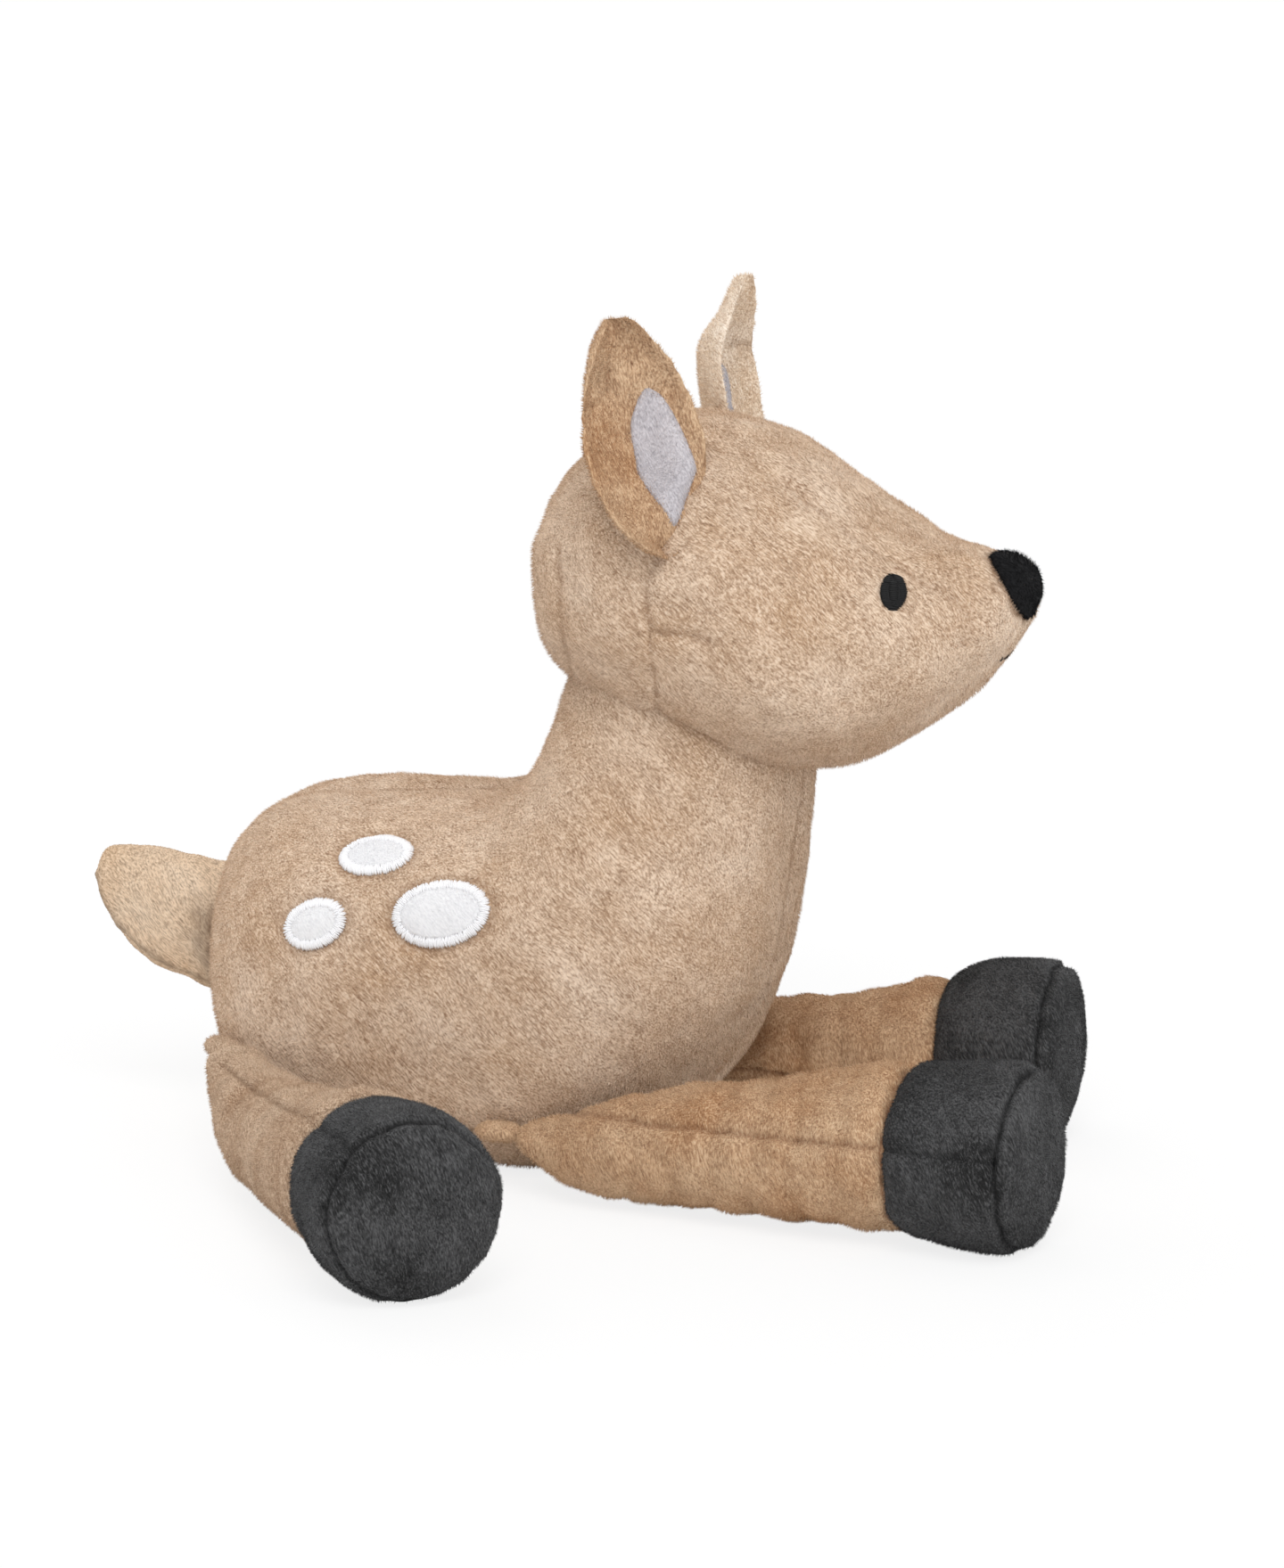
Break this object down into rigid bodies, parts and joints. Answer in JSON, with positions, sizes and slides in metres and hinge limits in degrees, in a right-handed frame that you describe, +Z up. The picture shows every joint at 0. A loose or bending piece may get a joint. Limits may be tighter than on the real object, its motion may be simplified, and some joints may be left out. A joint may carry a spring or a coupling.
{
  "type": "plush deer",
  "caption": "Sitting plush deer with a stuffed body and head, legs on fabric hips that spread and lift, ears that flap, a tail that wags, dark hooves and white spots.",
  "frame": {"origin": "on the table under the middle of the body", "axes": "+X where the deer looks, +Y to its left, +Z up"},
  "size_m": [0.2696, 0.3466, 0.2154],
  "materials": {
    "tan_plush": "short knitted pile",
    "white_plush": "short knitted pile",
    "ear_plush": "short knitted pile",
    "grey_plush": "short knitted pile",
    "black_plush": "short knitted pile",
    "black_thread": "embroidered",
    "white_thread": "satin stitch",
    "fibre_filling": "loose polyester fibre"
  },
  "bodies": {
    "torso": {"body_base": "tan_plush", "body_cover_left": "tan_plush", "body_cover_right": "tan_plush", "body_filling": "fibre_filling", "eye_left": "black_thread", "eye_right": "black_thread", "head_cover_left": "tan_plush", "head_cover_right": "tan_plush", "head_crown_gusset": "tan_plush", "head_filling": "fibre_filling", "mouth_stitch": "black_thread", "nose_panel": "black_plush", "spot_patch_1_left": "white_plush", "spot_patch_1_right": "white_plush", "spot_patch_2_left": "white_plush", "spot_patch_2_right": "white_plush", "spot_patch_3_left": "white_plush", "spot_patch_3_right": "white_plush", "spot_satin_1_left": "white_thread", "spot_satin_1_right": "white_thread", "spot_satin_2_left": "white_thread", "spot_satin_2_right": "white_thread", "spot_satin_3_left": "white_thread", "spot_satin_3_right": "white_thread"},
    "front_right_hip": {"hip_tab_front_right": "tan_plush"},
    "front_right_leg": {"leg_front_right": "tan_plush", "hoof_front_right": "grey_plush", "sole_front_right": "grey_plush"},
    "front_left_hip": {"hip_tab_front_left": "tan_plush"},
    "front_left_leg": {"leg_front_left": "tan_plush", "hoof_front_left": "grey_plush", "sole_front_left": "grey_plush"},
    "rear_right_hip": {"hip_tab_rear_right": "tan_plush"},
    "rear_right_leg": {"leg_rear_right": "tan_plush", "hoof_rear_right": "grey_plush", "sole_rear_right": "grey_plush"},
    "rear_left_hip": {"hip_tab_rear_left": "tan_plush"},
    "rear_left_leg": {"leg_rear_left": "tan_plush", "hoof_rear_left": "grey_plush", "sole_rear_left": "grey_plush"},
    "right_ear": {"ear_right": "tan_plush", "ear_lining_right": "ear_plush"},
    "left_ear": {"ear_left": "tan_plush", "ear_lining_left": "ear_plush"},
    "tail": {"tail": "tan_plush"}
  },
  "joints": [
    {"name": "front_right_splay", "type": "hinge", "parent": "torso", "child": "front_right_hip", "pos_m": [0.02064, -0.04897, 0.01513], "axis": [0, 0, -1], "range_deg": [0, 45]},
    {"name": "front_right_lift", "type": "hinge", "parent": "front_right_hip", "child": "front_right_leg", "pos_m": [0.02064, -0.04897, 0.01513], "axis": [-0.0523, -0.9986, 0], "range_deg": [0, 30]},
    {"name": "front_left_splay", "type": "hinge", "parent": "torso", "child": "front_left_hip", "pos_m": [-0.0027, 0.04994, 0.01513], "axis": [0, 0, 1], "range_deg": [0, 45]},
    {"name": "front_left_lift", "type": "hinge", "parent": "front_left_hip", "child": "front_left_leg", "pos_m": [-0.0027, 0.04994, 0.01513], "axis": [-0.0698, -0.9976, 0], "range_deg": [0, 30]},
    {"name": "rear_right_splay", "type": "hinge", "parent": "torso", "child": "rear_right_hip", "pos_m": [-0.0548, -0.04529, 0.02848], "axis": [0, 0, -1], "range_deg": [0, 45]},
    {"name": "rear_right_lift", "type": "hinge", "parent": "rear_right_hip", "child": "rear_right_leg", "pos_m": [-0.0548, -0.04529, 0.02848], "axis": [-0.7431, -0.6691, 0], "range_deg": [0, 50]},
    {"name": "rear_left_splay", "type": "hinge", "parent": "torso", "child": "rear_left_hip", "pos_m": [-0.05482, 0.04529, 0.02848], "axis": [0, 0, 1], "range_deg": [-30, 15]},
    {"name": "rear_left_lift", "type": "hinge", "parent": "rear_left_hip", "child": "rear_left_leg", "pos_m": [-0.05482, 0.04529, 0.02848], "axis": [0.9781, -0.2079, 0], "range_deg": [0, 50]},
    {"name": "right_ear_flap", "type": "hinge", "parent": "torso", "child": "right_ear", "pos_m": [0.06135, -0.02852, 0.16963], "axis": [0.0899, 0.6891, 0.7191], "range_deg": [-12, 12], "stiffness_Nm_per_rad": 0.02},
    {"name": "left_ear_flap", "type": "hinge", "parent": "torso", "child": "left_ear", "pos_m": [0.05335, 0.02852, 0.16963], "axis": [-0.0899, 0.6891, -0.7191], "range_deg": [-12, 12], "stiffness_Nm_per_rad": 0.02},
    {"name": "tail_wag", "type": "hinge", "parent": "torso", "child": "tail", "pos_m": [-0.06841, 0, 0.0465], "axis": [0, 0, 1], "range_deg": [-25, 25], "stiffness_Nm_per_rad": 0.02}
  ]
}
